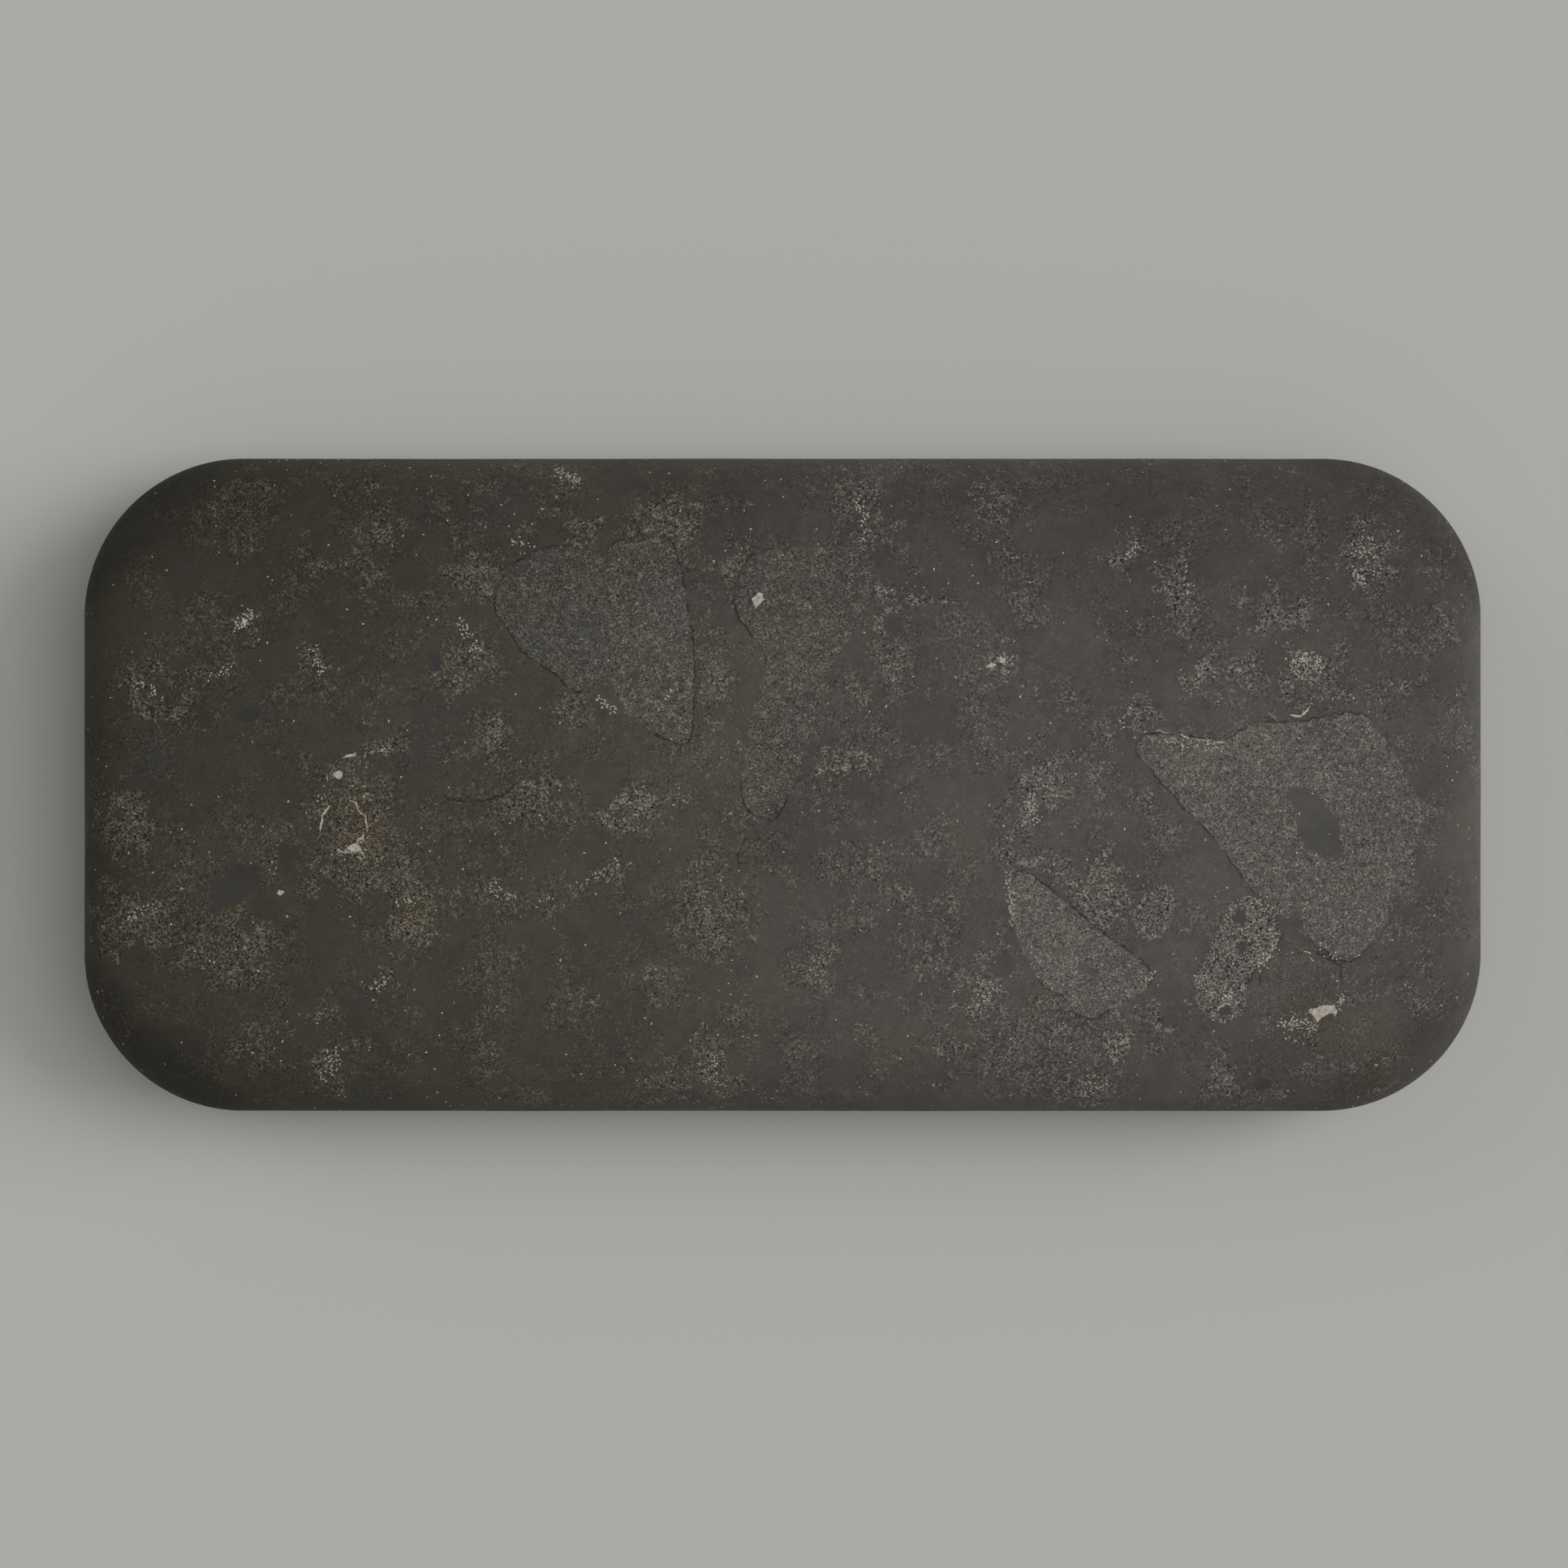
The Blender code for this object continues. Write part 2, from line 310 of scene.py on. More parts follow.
# Grainy patches in the matrix: centre, half sizes, turn and strength.
PATCHES = [
    # top left
    (-59, 30, 3.2, 4.2, 15, 0.75), (-63, 28, 1.4, 1.8, 0, 0.5), (-48, 31.5, 1.0, 2.6, 25, 0.7),
    (-45, 33, 1.0, 1.0, 0, 0.8), (-43.5, 27, 1.6, 2.0, 0, 1.0), (-44.3, 22.5, 1.8, 2.8, 0, 0.8),
    (-49, 24, 3.0, 1.3, 10, 0.8), (-53.5, 21, 3.6, 1.6, 30, 0.6), (-37.5, 31, 1.0, 2.6, -15, 0.6),
    (-32.3, 32.2, 1.5, 1.5, 0, 0.7), (-23.5, 33.3, 1.8, 1.4, 0, 0.7), (-22.5, 28, 1.6, 2.0, 0, 0.8),
    (-28, 27, 1.0, 1.0, 0, 0.6), (-33.5, 22.8, 2.4, 2.8, 0, 0.9), (-35, 12.5, 3.0, 3.0, 0, 0.8),
    (-63, 19, 2.6, 1.8, 0, 0.6), (-58, 17.8, 1.5, 1.5, 0, 1.0), (-39, 19, 2.0, 1.6, 0, 0.7),
    (-50.5, 13, 1.5, 2.4, 0, 0.9), (-69, 12, 2.6, 1.8, 20, 0.9), (-66, 8.0, 3.0, 1.8, 0, 1.0),
    (-62, 12, 2.0, 1.2, 20, 0.8), (-42, 15.5, 3.0, 1.4, 0, 0.5), (-48, 20, 2.0, 1.5, 0, 0.5),
    (-45, 9, 1.8, 2.0, 0, 0.6),
    # middle left and lower left
    (-31, 4.5, 2.2, 3.4, 0, 0.9), (-27, 6.5, 2.4, 1.8, 0, 0.4), (-22.8, 8.6, 1.6, 1.4, 0, 0.75),
    (-45, 3.0, 3.6, 1.2, 25, 0.8), (-46, -3.0, 5.6, 4.4, 0, 0.75), (-45, -9.0, 7.0, 3.8, 0, 0.8),
    (-58, -5.0, 1.6, 4.0, 15, 0.6), (-54, -7.0, 3.0, 2.4, 0, 0.7), (-71, -4.0, 3.6, 3.6, 0, 0.9),
    (-64.5, -10.0, 3.4, 3.2, 0, 0.6), (-70, -15.0, 5.4, 3.4, -20, 0.85),
    (-60, -18.0, 6.4, 4.0, 5, 0.85), (-40, -15.5, 2.8, 3.4, 0, 0.95),
    (-35.5, -4.0, 5.4, 2.6, -10, 0.55), (-27, -2.2, 4.4, 2.6, 0, 0.85), (-16, -3.0, 3.2, 2.0, 25, 1.0),
    (-12, -0.8, 2.0, 1.0, 40, 0.7), (-20.5, -10, 3.2, 1.3, 30, 0.9), (-24.5, -12.2, 2.4, 1.0, 20, 0.7),
    (-29.2, -12.8, 2.2, 1.6, 0, 0.7), (-33, -11.5, 1.7, 1.6, 0, 0.8), (-31, -21, 1.8, 3.2, 30, 0.6),
    (-23, -23.5, 3.0, 2.6, 0, 0.65), (-13.5, -22, 3.2, 3.0, 0, 0.6), (-43.5, -21.5, 1.0, 1.0, 0, 1.0),
    (-57, -28.5, 3.0, 1.8, 0, 0.8), (-62, -30.5, 1.8, 2.0, 0, 0.5), (-49, -30, 1.3, 4.2, 5, 0.9),
    (-46, -28.5, 1.2, 1.8, 0, 0.7), (-40, -29, 1.6, 2.4, 0, 0.45), (-32, -29.8, 2.0, 2.4, 0, 0.75),
    (-22, -31, 1.8, 1.5, 0, 0.5), (-17, -28, 1.3, 1.3, 0, 0.7), (-12, -32, 2.2, 2.0, 0, 0.8),
    (-7.3, -30.5, 1.6, 3.0, 0, 0.9), (1.5, -30.5, 2.2, 3.0, 20, 0.6),
    # middle
    (-12.5, 27.5, 3.4, 3.8, 0, 0.95), (-4.5, 23, 2.0, 3.4, 0, 0.8), (8.0, 31, 2.8, 2.8, 0, 0.7),
    (9.5, 27, 4.0, 1.8, 0, 0.7), (3.0, 32, 1.6, 2.0, 0, 0.5), (8.0, 10, 3.2, 2.0, 0, 0.7),
    (12, 13.5, 2.0, 2.6, 0, 0.7), (13, 20.3, 2.6, 0.9, 5, 0.9), (11.8, 17.5, 1.7, 1.6, 0, 0.8),
    (5.0, 1.8, 3.6, 1.8, 20, 0.95), (-8, -14, 3.6, 5.0, 0, 0.75), (-7.5, 12, 1.6, 5.0, 0, 0.7),
    (-6.5, -4.0, 3.0, 1.6, 30, 0.6), (-8, 20, 1.2, 3.0, 0, 0.6), (14, -16, 2, 2, 0, 0.5),
    (4, -20, 1.5, 2.2, -15, 0.8), (0, -27, 2.4, 2.0, 0, 0.5), (7.5, -8.5, 4.0, 2.6, 10, 0.6),
    (16, -5, 2.0, 2.2, 0, 0.7), (8.5, -14.5, 2.2, 3.4, 20, 0.5), (13.2, -12, 1.4, 1.4, 0, 0.8),
    (3, 7, 2.4, 2.4, 0, 0.5), (-2, -8, 2.4, 2.0, 0, 0.5),
    # top right
    (23, 30, 2.8, 3.4, 0, 0.75), (24, 24.5, 1.5, 2.4, 0, 0.6), (26, 19.5, 1.5, 2.6, 0, 0.7),
    (23, 13.5, 2.0, 2.0, 0, 0.8), (20.8, 9.0, 2.2, 3.6, 10, 0.6), (37.5, 25, 1.4, 1.3, 0, 1.0),
    (43, 20.6, 2.2, 3.6, 10, 0.9), (53.5, 18.3, 4.0, 2.8, 0, 0.8), (45.7, 12.5, 1.6, 2.0, 0, 1.0),
    (50.5, 12, 2.4, 2.8, 0, 0.7), (56.8, 12, 2.6, 2.6, 0, 1.0), (60.2, 13.0, 1.2, 3.4, -20, 0.7),
    (62.8, 26.5, 1.4, 2.6, -25, 0.8), (64, 23.2, 2.4, 3.6, -20, 0.85), (57.7, 25, 1.0, 3.2, 0, 0.6),
    (66, 18, 4.0, 2.6, 0, 0.5), (71, 17, 1.4, 2.2, 0, 0.8), (71.5, 23, 1.0, 2.8, 0, 0.6),
    (38.3, 8, 1.8, 1.6, 0, 0.7), (35, 5.4, 1.8, 2.2, 0, 0.6), (50.5, 33, 2.2, 1.4, 0, 0.5),
    (46.5, 30.5, 1.6, 2.4, 0, 0.4), (73, 7, 1.2, 2.4, 0, 0.6), (64, 10.2, 3.4, 1.2, 5, 0.7),
    # lower right
    (27.5, -1.5, 2.6, 5.4, -32, 0.75), (27, -8, 2.0, 1.8, 0, 0.8), (34.5, -12, 3.4, 3.8, 0, 0.8),
    (29.5, -9.0, 3.0, 2.0, 0, 0.6), (22, -22, 2.8, 4.0, 0, 0.75), (29, -28.5, 7.6, 6.2, 0, 0.6),
    (35.6, -28, 2.2, 3.0, 0, 0.95), (18, -29, 2.0, 2.0, 0, 0.8), (33, -33, 2.4, 2.0, 0, 0.8),
    (40.3, -26, 1.4, 1.6, 0, 0.8), (47.2, -32, 1.8, 2.8, 0, 0.8), (52.3, -33.6, 2.2, 1.4, 0, 0.8),
    (55.8, -26.4, 2.4, 1.2, 20, 1.0), (60.5, -22.3, 1.4, 2.2, 0, 0.7), (63, -29.8, 1.5, 2.0, 0, 0.6),
    (56, -31, 2.2, 1.6, 0, 0.6), (51, -30, 2.2, 1.6, 0, 0.4), (72, -13, 1.2, 2.2, 0, 0.5),
    (69, -17, 1.3, 1.8, 0, 0.6), (71.3, -3, 1.2, 1.0, 0, 0.6), (68.7, -23, 1.1, 0.9, 0, 0.9),
    (64, -21, 1.2, 1.0, 0, 0.5), (66, -14.6, 1.2, 1.2, 0, 0.7),
]

# White flecks crowd along these short runs: both ends, half width and how crowded they are.
FLECKED = [
    # around the round fragment on the left, and its star of crystals
    (-46.5, 3.1, -42.4, 3.9, 0.3, 0.6), (-49.7, -0.4, -49.6, -3.2, 0.25, 0.5),
    (-45.4, -0.6, -43.8, -2.4, 0.25, 0.5), (-43.8, -2.4, -44.6, -5.0, 0.25, 0.6),
    (-48.2, -7.2, -46.4, -6.8, 0.3, 0.8), (-46.4, -6.8, -44.9, -5.6, 0.3, 0.9),
    (-46.4, -6.8, -45.2, -8.0, 0.3, 0.7), (-46.4, -6.8, -47.2, -8.2, 0.3, 0.7),
    (-55.2, -8.0, -55.0, -10.4, 0.25, 0.5),
    # along the fragments on the right
    (24.4, -9.8, 24.9, -15.0, 0.3, 0.9), (39.2, -21.2, 40.4, -20.4, 0.3, 0.8),
    (40.6, 4.9, 47.6, 4.2, 0.3, 0.7), (54.0, -25.8, 57.4, -25.6, 0.5, 0.8),
    (55.0, -27.3, 57.0, -27.2, 0.3, 0.7), (60.0, -24.2, 60.8, -22.8, 0.3, 0.8),
    (48.0, -23.2, 48.4, -22.8, 0.4, 0.8), (47.0, -25.6, 48.8, -25.0, 0.3, 0.6),
    (50.6, -12.4, 52.6, -13.4, 0.3, 0.7), (52.6, -15.4, 53.2, -17.4, 0.3, 0.7),
    (51.5, -19.6, 52.8, -18.0, 0.3, 0.9), (48.6, -15.6, 50.8, -16.4, 0.3, 0.6),
    (54.8, 7.8, 57.6, 8.9, 0.25, 0.4), (55.4, 12.8, 57.0, 14.2, 0.5, 0.7),
    (57.0, 14.2, 58.6, 12.6, 0.4, 0.7), (57.4, -17.2, 60.2, -18.8, 0.3, 0.5),
    (62.4, 27.6, 64.6, 22.4, 0.4, 0.7), (61.4, 23.4, 63.0, 21.8, 0.4, 0.6),
    # elsewhere
    (-34.9, 17.6, -34.2, 16.2, 0.3, 1.0), (-33.6, 15.2, -33.0, 14.4, 0.3, 1.0),
    (-58.8, 17.2, -57.6, 18.4, 0.5, 0.9), (21.8, 12.8, 24.4, 13.8, 0.5, 0.5),
    (26.6, -1.4, 27.4, -4.0, 0.35, 0.9), (-21.6, -10.6, -17.8, -8.4, 0.3, 0.5),
    (-31.4, -11.2, -29.4, -12.2, 0.5, 0.6), (-27.0, -13.0, -24.6, -12.4, 0.3, 0.4),
    (10.6, 20.8, 13.2, 21.6, 0.25, 0.5), (13.2, 21.6, 15.6, 20.8, 0.25, 0.5),
    (43.6, 23.6, 44.2, 20.8, 0.25, 0.6), (8.0, 31.6, 9.0, 27.6, 0.4, 0.7),
    (-69.8, 11.0, -67.4, 9.4, 0.4, 0.7), (-50.6, 14.6, -49.9, 12.2, 0.35, 0.8),
    (-13.0, 8.6, -12.0, 10.4, 0.4, 0.6), (-20.0, 9.2, -18.2, 8.2, 0.35, 0.8),
    (-49.2, -31.6, -48.6, -28.6, 0.4, 0.8), (37.4, 8.2, 36.6, 6.0, 0.3, 0.7),
    (-42.8, -21.2, -43.8, -21.8, 0.4, 0.8), (21.0, -23.8, 23.0, -21.8, 0.5, 0.7),
    (-41.8, -13.0, -39.4, -12.4, 0.35, 0.6), (-71.4, -14.6, -68.6, -13.2, 0.5, 0.6),
    (-24.2, 34.0, -22.4, 33.2, 0.5, 0.9), (-29.0, 26.0, -27.0, 25.6, 0.35, 0.6),
    (36.8, 24.6, 38.4, 25.6, 0.35, 0.8), (-8.0, -30.0, -6.8, -33.0, 0.4, 0.6),
    (33.0, -33.6, 34.6, -32.0, 0.4, 0.7), (-62.0, 11.6, -60.0, 12.6, 0.35, 0.6),
]

# Rusty (positive) and blue-grey (negative) stains: centre, radius and strength.
STAINS = [
    (-45.5, -5, 6, 0.9), (-40, -15, 4, 0.9), (-50, 30, 3, 0.5), (-29, -33, 3, 0.5),
    (47.6, -24, 2.4, 0.8), (52, -19, 2.2, 0.6), (57.5, -26.5, 3.5, 0.7), (64, -32, 3, 0.5),
    (65, 18, 3, 0.3), (-48, -2, 3, 0.5), (-38, 3, 6, -0.8), (-57, 8, 3, -0.7), (-36, -8, 4.5, -0.7),
    (-22, 23, 4.5, -0.45), (-13, 19, 4, -0.4), (-60, -11, 3, -0.6), (-67, 3, 3, -0.5),
    (-64, 23, 2.5, -0.4), (-48, -19, 4, -0.4), (-31, -17, 3, -0.4), (-25, -24, 3, -0.4),
    (13, 31, 3, -0.4), (33, 16, 3.5, -0.4), (32, 26, 3, -0.4), (23.7, -19.6, 2, -0.8),
    (-29, 8, 4, -0.4), (-40, -21, 4, -0.3), (3, -15, 3, -0.3), (45, 8, 3, -0.3),
]


STONE_MIDDLE = BAR_SIZES["Widest Height"]
# Distances in millimetres. An edge field starts at NO_EDGE, well outside everything, and a crack
# shows up to CRACK_REACH from its stretch of outline.
NO_EDGE = -6.0
CRACK_REACH = 1.6
# Flecks and stains are at full strength in the middle, and end at these multiples of their size.
FLECK_REACH = 1.5
STAIN_REACH = 1.2
# How the makings of the face are turned and moved for the underside.
UNDERSIDE_TURN = (-0.9, 1.05)
UNDERSIDE_MOVE = (7.0, -4.0)
# No fragment or spot comes this near to the height of the widest outline. The other makings fade
# out over a larger height, to a free pattern of patches.
PLAIN_HEIGHT = 2.0
FREE_HEIGHT = 5.0
FREE_PATCH_EDGE = -0.5
FREE_PATCH_GRAIN = 0.7
PATCH_EDGE_LIMIT = 3.0
# Painted shade darkens the corners of the face: it starts past a slanting line, and is at its darkest
# this far beyond it.
PAINTED_SHADE_SLANT = 0.833
PAINTED_SHADE_START = 78.4
PAINTED_SHADE_WIDTH = 4.0


def off_segment(points, start, end):
    """Distance of each point from a straight run."""
    start, run = np.array(start), np.array(end) - np.array(start)
    share = np.clip(((points - start) @ run) / (run @ run), 0, 1)
    return np.linalg.norm(points - start - share[:, None] * run, axis=1)


def off_outline(points, outline):
    """Distance of each point from a closed outline, positive inside."""
    outline = np.array(outline)
    nearest, inside = np.full(len(points), np.inf), np.zeros(len(points), bool)
    for start, end in zip(outline, np.roll(outline, -1, axis=0)):
        nearest = np.minimum(nearest, off_segment(points, start, end))
        crossed = (start[1] > points[:, 1]) != (end[1] > points[:, 1])
        rise = end[1] - start[1] if abs(end[1] - start[1]) > TINY else TINY
        on_line = start[0] + (end[0] - start[0]) * (points[:, 1] - start[1]) / rise
        inside ^= crossed & (points[:, 0] < on_line)
    return np.where(inside, nearest, -nearest)


def off_oval(points, x, y, half_x, half_y, turn):
    """Distance of each point from an oval, near enough, positive inside."""
    cos, sin = math.cos(math.radians(turn)), math.sin(math.radians(turn))
    across, up = points[:, 0] - x, points[:, 1] - y
    reach = np.hypot((across * cos + up * sin) / half_x, (up * cos - across * sin) / half_y)
    return (1 - reach) * min(half_x, half_y)


def softened(outline, cut=0.2):
    """The outline with its corners cut twice, as a tumbled edge has them."""
    outline = np.array(outline)
    for _ in range(2):
        ahead = np.roll(outline, -1, axis=0)
        cuts = [outline * (1 - cut) + ahead * cut, outline * cut + ahead * (1 - cut)]
        outline = np.stack(cuts, axis=1).reshape(-1, 2)
    return outline


def face_fields(points):
    """The value of each field at points given in millimetres from the middle of the face."""
    names = ("fragment_grain", "fragment_tone", "fragment_hue", "crack", "patch_grain", "flecks", "stain")
    edges = ("fragment_edge", "spot_edge", "patch_edge")
    fields = {name: np.zeros(len(points)) for name in names}
    fields |= {name: np.full(len(points), NO_EDGE) for name in edges}
    for grain, tone, hue, outline, cracked in FRAGMENTS.values():
        edge = off_outline(points, softened(outline))
        nearer = edge > fields["fragment_edge"]
        fields["fragment_edge"][nearer] = edge[nearer]
        for name, value in (("fragment_grain", grain), ("fragment_tone", tone), ("fragment_hue", hue)):
            fields[name][nearer] = value
        for first, last in cracked:
            for start, end in zip(outline[first:last], outline[first + 1:last + 1]):
                near = np.clip(CRACK_REACH - off_segment(points, start, end), 0, 1)
                fields["crack"] = np.maximum(fields["crack"], near)
    for outline in LARGE_SPOTS:
        fields["spot_edge"] = np.maximum(fields["spot_edge"], off_outline(points, outline))
    for x, y, half_x, half_y, turn in SPOTS:
        edge = off_oval(points, x, y, half_x, half_y, turn)
        fields["spot_edge"] = np.maximum(fields["spot_edge"], edge)
    for x, y, half_x, half_y, turn, strength in PATCHES:
        edge = off_oval(points, x, y, half_x, half_y, turn)
        nearer = edge > fields["patch_edge"]
        fields["patch_edge"][nearer] = edge[nearer]
        fields["patch_grain"][nearer] = strength
    for x_1, y_1, x_2, y_2, half_width, strength in FLECKED:
        off_run = off_segment(points, (x_1, y_1), (x_2, y_2))
        near = np.clip(FLECK_REACH - off_run / half_width, 0, 1)
        fields["flecks"] = np.maximum(fields["flecks"], near * strength)
    for x, y, radius, strength in STAINS:
        off_centre = np.hypot(points[:, 0] - x, points[:, 1] - y)
        fields["stain"] += strength * np.clip(STAIN_REACH - off_centre / radius, 0, 1)
    return fields


def lay_out_face(mesh):
    """Store the fields on the mesh. The underside has the same makings, turned and moved, and both
    fade out towards the widest outline, where only the free pattern of the matrix is left."""
    place = np.zeros(len(mesh.vertices) * 3, np.float32)
    mesh.vertices.foreach_get("co", place)
    place = place.reshape(-1, 3).astype(float)
    under = place[:, 2] < STONE_MIDDLE
    plan = place[:, :2] / MM / FACE_SCALE
    plan[under] = plan[under] * UNDERSIDE_TURN + UNDERSIDE_MOVE
    fields = face_fields(plan)
    from_middle = np.abs(place[:, 2] - STONE_MIDDLE) / MM
    free = np.clip(1 - from_middle / FREE_HEIGHT, 0, 1)
    for name in ("fragment_edge", "spot_edge"):
        fields[name] = np.minimum(fields[name], from_middle - PLAIN_HEIGHT)
    for name in ("crack", "flecks", "stain"):
        fields[name] *= 1 - free
    patch_edge = np.clip(fields["patch_edge"], -PATCH_EDGE_LIMIT, PATCH_EDGE_LIMIT)
    fields["patch_edge"] = patch_edge * (1 - free) + FREE_PATCH_EDGE * free
    fields["patch_grain"] = fields["patch_grain"] * (1 - free) + FREE_PATCH_GRAIN * free
    # the corner field is painted shade, darkest at the corners of the face
    outward = (np.abs(place[:, 1]) + PAINTED_SHADE_SLANT * np.abs(place[:, 0])) / MM
    fields["corner"] = np.clip((outward - PAINTED_SHADE_START) / PAINTED_SHADE_WIDTH, 0, 1)
    for name, values in fields.items():
        mesh.attributes.new(name, "FLOAT", "POINT").data.foreach_set("value", values.astype(np.float32))


basalt = bpy.data.materials.new("tumbled_basalt")
basalt.use_nodes = True
stone_mesh = grown_mesh("basalt_bar", bar_tree(basalt), BAR_SIZES | BAR_COUNTS)
lay_out_face(stone_mesh)


# --- Relief of the tumbled face ----------------------------------------------------------------
# Tumbling wears the soft matrix more than the fragments, which stand a few hundredths proud. The
# glass in the spots and the grainy patches wears lower, and the whole face undulates a little.

RELIEF = {
    "Undulation": 0.06 * MM,
    "Fragment Lift": 0.03 * MM,
    "Spot Depth": 0.04 * MM,
    "Patch Depth": 0.012 * MM,
    "Crack Depth": 0.05 * MM,
    "Rough": 0.018 * MM,
}


def step(tree, value, low, high, to_low=0.0, to_high=1.0):
    """A smooth step: to_low below low, to_high above high."""
    ends = {"Value": value, "From Min": low, "From Max": high, "To Min": to_low, "To Max": to_high}
    return node(tree, "ShaderNodeMapRange", ends, interpolation_type="SMOOTHSTEP").outputs["Result"]


def noise(tree, place, scale, detail, roughness=0.5, shift=0.0):
    """Noise around 0, from about -1 to 1; shift takes another part of the pattern."""
    if shift:
        moved = {0: place, 1: (shift, shift * 0.7, -shift)}
        place = node(tree, "ShaderNodeVectorMath", moved).outputs[0]
    made = node(tree, "ShaderNodeTexNoise", {
        "Vector": place, "Scale": scale, "Detail": detail, "Roughness": roughness}).outputs[0]
    return node(tree, "ShaderNodeMath", {0: made, 1: 2.0, 2: -1.0}, operation="MULTIPLY_ADD").outputs[0]


def scaled(tree, vector, factor):
    """A vector times a factor."""
    return node(tree, "ShaderNodeVectorMath", {0: vector, "Scale": factor}, operation="SCALE").outputs[0]


def stored(tree, name):
    """A field that lay_out_face put on the mesh, in a geometry tree."""
    return node(tree, "GeometryNodeInputNamedAttribute", {"Name": name},
                data_type="FLOAT").outputs["Attribute"]


def relief_tree():
    """Push the face in and out along its normals. The noise is in metres, its scale per metre."""
    tree = new_geometry_tree("tumbled relief", RELIEF)
    given = node(tree, "NodeGroupInput").outputs
    place = node(tree, "GeometryNodeInputPosition").outputs[0]
    edge = plus(tree, stored(tree, "fragment_edge"), times(tree, noise(tree, place, 900, 2), 0.25))
    on_edge = minus(tree, 1.0, step(tree, absolute(tree, edge), 0.0, 0.6))
    raised = plus(tree,
                  times(tree, noise(tree, place, 55, 2), given["Undulation"]),
                  times(tree, step(tree, edge, -0.4, 0.5), given["Fragment Lift"]),
                  times(tree, noise(tree, place, 1300, 1), given["Rough"]))
    lowered = plus(tree,
                   times(tree, step(tree, stored(tree, "spot_edge"), -0.3, 0.5), given["Spot Depth"]),
                   times(tree, step(tree, stored(tree, "patch_edge"), -0.6, 0.8), given["Patch Depth"]),
                   times(tree, stored(tree, "crack"), on_edge, given["Crack Depth"]))
    normal = node(tree, "GeometryNodeInputNormal").outputs[0]
    push = scaled(tree, normal, minus(tree, raised, lowered))
    moved = node(tree, "GeometryNodeSetPosition", {"Geometry": given["Geometry"], "Offset": push})
    # nothing may sink below the land that the stone lies on
    floor_level = {0: place, 1: (-1.0, -1.0, 0.0)}
    low = node(tree, "ShaderNodeVectorMath", floor_level, operation="MAXIMUM").outputs[0]
    rested = node(tree, "GeometryNodeSetPosition", {"Geometry": moved.outputs[0], "Position": low})
    node(tree, "NodeGroupOutput", {0: rested.outputs[0]})
    return tree


stone_mesh = grown_mesh("basalt_bar", relief_tree(), RELIEF, stone_mesh)
stone = bpy.data.objects.new("basalt_bar", stone_mesh)
scene.collection.objects.link(stone)
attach(stone, "root")
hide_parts("basalt_stone")


# --- The rock itself ---------------------------------------------------------------------------
# Basalt breccia: a smooth matrix, clouded brown to grey, with patches and fragments of fine pale
# grains, dark glassy spots and dark cracks. The face is honed by the tumbling.

# How light the matrix is, and what the spots, the cracks and the painted shade in the corners are times
# that.
MATRIX_TONE = 0.0775
SPOT_TONE = 0.78
CRACK_TONE = 0.4
PAINTED_CORNER_SHADE_TONE = 0.78
LEFT_TINT = (1.115, 1.0, 0.745)
RIGHT_TINT = (1.12, 1.0, 0.885)
RUST_TINT = (1.18, 1.0, 0.72)
SLATE_TINT = (1.02, 1.0, 0.93)
COARSE_GRAIN = {"Per mm": 6.2, "Light": 1.95, "Dark": 0.95, "Bright": 1.4}
FINE_GRAIN = {"Per mm": 7.8, "Light": 1.6, "Dark": 1.0, "Bright": 2.0}


def rock_grain_group():
    """Fine mineral grains. Density thins them out from the full pattern to single grains. Grain is
    a tone factor around 1, Height is for a bump."""
    tree = bpy.data.node_groups.new("rock grain", "ShaderNodeTree")
    tree.interface.new_socket("Place", in_out="INPUT", socket_type="NodeSocketVector")
    for label in ("Per mm", "Density", "Light", "Dark", "Bright"):
        tree.interface.new_socket(label, in_out="INPUT", socket_type="NodeSocketFloat")
    for label in ("Grain", "Height"):
        tree.interface.new_socket(label, in_out="OUTPUT", socket_type="NodeSocketFloat")
    given = node(tree, "NodeGroupInput").outputs
    place, per_mm, density = given["Place"], given["Per mm"], given["Density"]
    crystal = node(tree, "ShaderNodeTexVoronoi", {"Vector": place, "Scale": per_mm}).outputs["Color"]
    lot, other_lot, _ = node(tree, "ShaderNodeSeparateColor", {0: crystal}).outputs
    clumps = noise(tree, place, times(tree, per_mm, 0.17), 3, 0.6, shift=9)
    thinned = plus(tree, lot, times(tree, clumps, 0.16), times(tree, minus(tree, density, 1.0), 0.62))
    light = times(tree, step(tree, thinned, 0.3, 1.0), given["Light"])
    dark = times(tree, step(tree, other_lot, 0.5, 0.0), given["Dark"], density)
    # the densest rock also has bright grains along the walls of small cells
    cell = node(tree, "ShaderNodeTexVoronoi", {"Vector": place, "Scale": times(tree, per_mm, 0.42)},
                feature="DISTANCE_TO_EDGE").outputs["Distance"]
    walls = times(tree, step(tree, cell, 0.16, 0.02), step(tree, plus(tree, clumps, density), 0.4, 1.15))
    bright = times(tree, walls, given["Bright"], step(tree, lot, 0.3, 0.8))
    grain = plus(tree, 1.0, minus(tree, plus(tree, light, bright), dark))
    node(tree, "NodeGroupOutput", {0: grain, 1: times(tree, lot, density)})
    return tree


def blended(tree, share, first, second):
    """first where share is 0, second where it is 1."""
    return node(tree, "ShaderNodeMix", {"Factor": share, 2: first, 3: second}).outputs[0]


def tinted(tree, share, first, second):
    """The same for colours."""
    colours = [value if isinstance(value, bpy.types.NodeSocket) else (*value, 1.0)
               for value in (first, second)]
    return node(tree, "ShaderNodeMix", {"Factor": share, 6: colours[0], 7: colours[1]},
                data_type="RGBA").outputs[2]


def place_in_mm(tree):
    """The place on the piece, in millimetres."""
    return scaled(tree, node(tree, "ShaderNodeTexCoord").outputs["Object"], 1 / MM)


def new_grain(tree, place, values):
    """Place the grain group in a material, with its own values."""
    return node(tree, "ShaderNodeGroup", {"Place": place} | values, node_tree=rock_grain).outputs


rock_grain = rock_grain_group()


